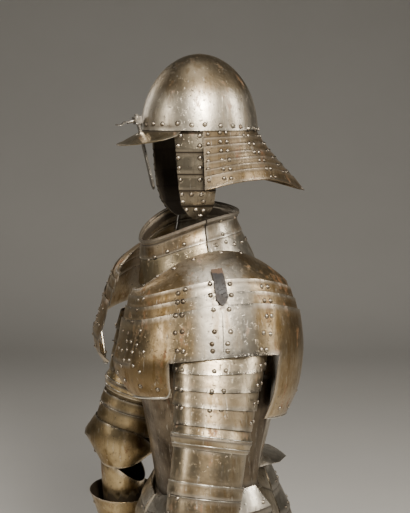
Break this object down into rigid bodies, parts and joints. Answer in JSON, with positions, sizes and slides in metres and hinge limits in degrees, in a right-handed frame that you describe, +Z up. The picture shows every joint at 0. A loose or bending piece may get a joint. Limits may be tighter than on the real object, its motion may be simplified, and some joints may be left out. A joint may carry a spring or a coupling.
{
  "type": "suit of cavalry armour",
  "caption": "Three-quarter plate armour for a rider: peaked open-faced helmet with laminated tail, gorget, cuirass, large pauldrons, full arms and long tassets.",
  "frame": {"origin": "middle of the base of the wearer neck, where the wearer shoulders carry the armour", "axes": "+Z up, -Y the way the armour faces, +X to its own left"},
  "size_m": [0.6549, 0.4686, 1.4463],
  "materials": {
    "steel": "satin",
    "bronzed_steel": "satin",
    "brown_steel": "satin",
    "dark_steel": "satin",
    "black_leather": "matt"
  },
  "bodies": {
    "armour": {"helmet_skull": "bronzed_steel", "helmet_peak": "bronzed_steel", "nasal_bracket": "dark_steel", "cheek_piece_left": "steel", "cheek_piece_right": "steel", "tail_lame_1": "bronzed_steel", "tail_lame_2": "bronzed_steel", "tail_lame_3": "bronzed_steel", "tail_lame_4": "bronzed_steel", "tail_lame_5": "bronzed_steel", "tail_lame_6": "bronzed_steel", "tail_lame_7": "bronzed_steel", "gorget_collar_front": "brown_steel", "gorget_plate_front": "brown_steel", "gorget_collar_back": "steel", "gorget_plate_back": "steel", "breastplate": "dark_steel", "backplate": "steel", "cuirass_strap_left": "black_leather", "cuirass_strap_right": "black_leather", "culet": "steel", "tasset_left": "steel", "tasset_right": "steel", "pauldron_left_top": "steel", "pauldron_left_lame_1": "steel", "pauldron_left_lame_2": "steel", "pauldron_left_main": "steel", "pauldron_left_strap": "black_leather", "pauldron_right_top": "steel", "pauldron_right_lame_1": "steel", "pauldron_right_lame_2": "steel", "pauldron_right_main": "steel", "pauldron_right_strap": "black_leather", "arm_left_lame_1": "steel", "arm_left_lame_2": "steel", "arm_left_lame_3": "steel", "arm_left_lame_4": "steel", "arm_left_turner": "steel", "arm_left_upper_cannon": "steel", "arm_left_elbow_lames": "steel", "arm_left_elbow_cop": "steel", "arm_left_lower_cannon": "steel", "gauntlet_left_cuff": "steel", "gauntlet_left_hand": "steel", "gauntlet_left_thumb": "steel", "arm_right_lame_1": "steel", "arm_right_lame_2": "steel", "arm_right_lame_3": "steel", "arm_right_lame_4": "steel", "arm_right_turner": "steel", "arm_right_upper_cannon": "steel", "arm_right_elbow_lames": "steel", "arm_right_elbow_cop": "steel", "arm_right_lower_cannon": "steel", "gauntlet_right_cuff": "steel", "gauntlet_right_hand": "steel", "gauntlet_right_thumb": "steel"},
    "nasal": {"nasal_bar": "dark_steel"},
    "screw": {"nasal_screw": "dark_steel"}
  },
  "joints": [
    {"name": "nasal_slide", "type": "slide", "parent": "armour", "child": "nasal", "axis": [0, -0.2334, 0.9724], "range_m": [0, 0.06]},
    {"name": "nasal_screw_turn", "type": "hinge", "parent": "armour", "child": "screw", "pos_m": [0, -0.1062, 0.2703], "axis": [0, -0.9724, -0.2334], "range_deg": [0, 180]}
  ]
}
